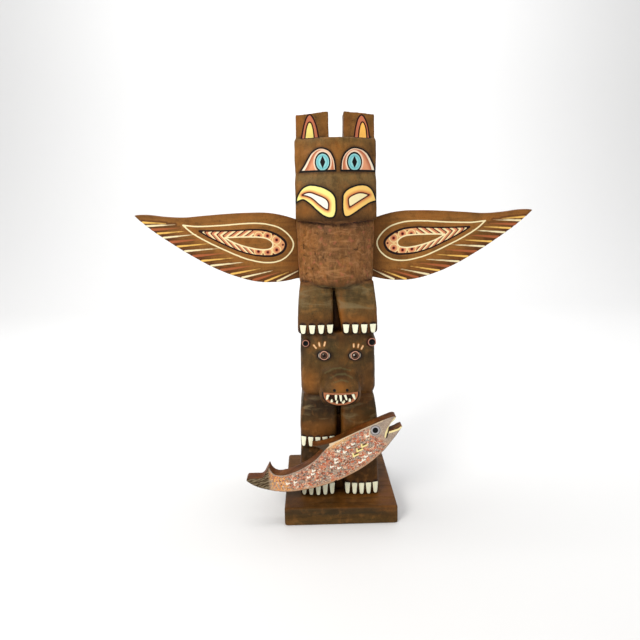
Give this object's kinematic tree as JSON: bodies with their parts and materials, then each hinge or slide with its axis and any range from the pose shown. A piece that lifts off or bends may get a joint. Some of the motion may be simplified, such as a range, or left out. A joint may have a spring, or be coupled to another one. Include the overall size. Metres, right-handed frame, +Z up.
{
  "type": "totem pole",
  "caption": "Carved and painted wooden totem pole for a table: a bird with spread wings above a bear holding a salmon, on a square plinth.",
  "frame": {"origin": "centre of the plinth's underside", "axes": "+Z up the log, the carved front faces -Y, and +X is the viewer's right"},
  "size_m": [0.4264, 0.114, 0.4137],
  "materials": {
    "plinth": "dark brown stain, satin",
    "log": "brown stain with painted eyes, mouths and claws, satin",
    "wings": "warm brown stain with painted feathers, satin",
    "salmon": "painted silver grey front with pink dabs, brown edges, satin"
  },
  "bodies": {
    "root": {"base": "plinth", "pole": "log", "left_wing": "wings", "right_wing": "wings", "salmon": "salmon"}
  },
  "joints": []
}
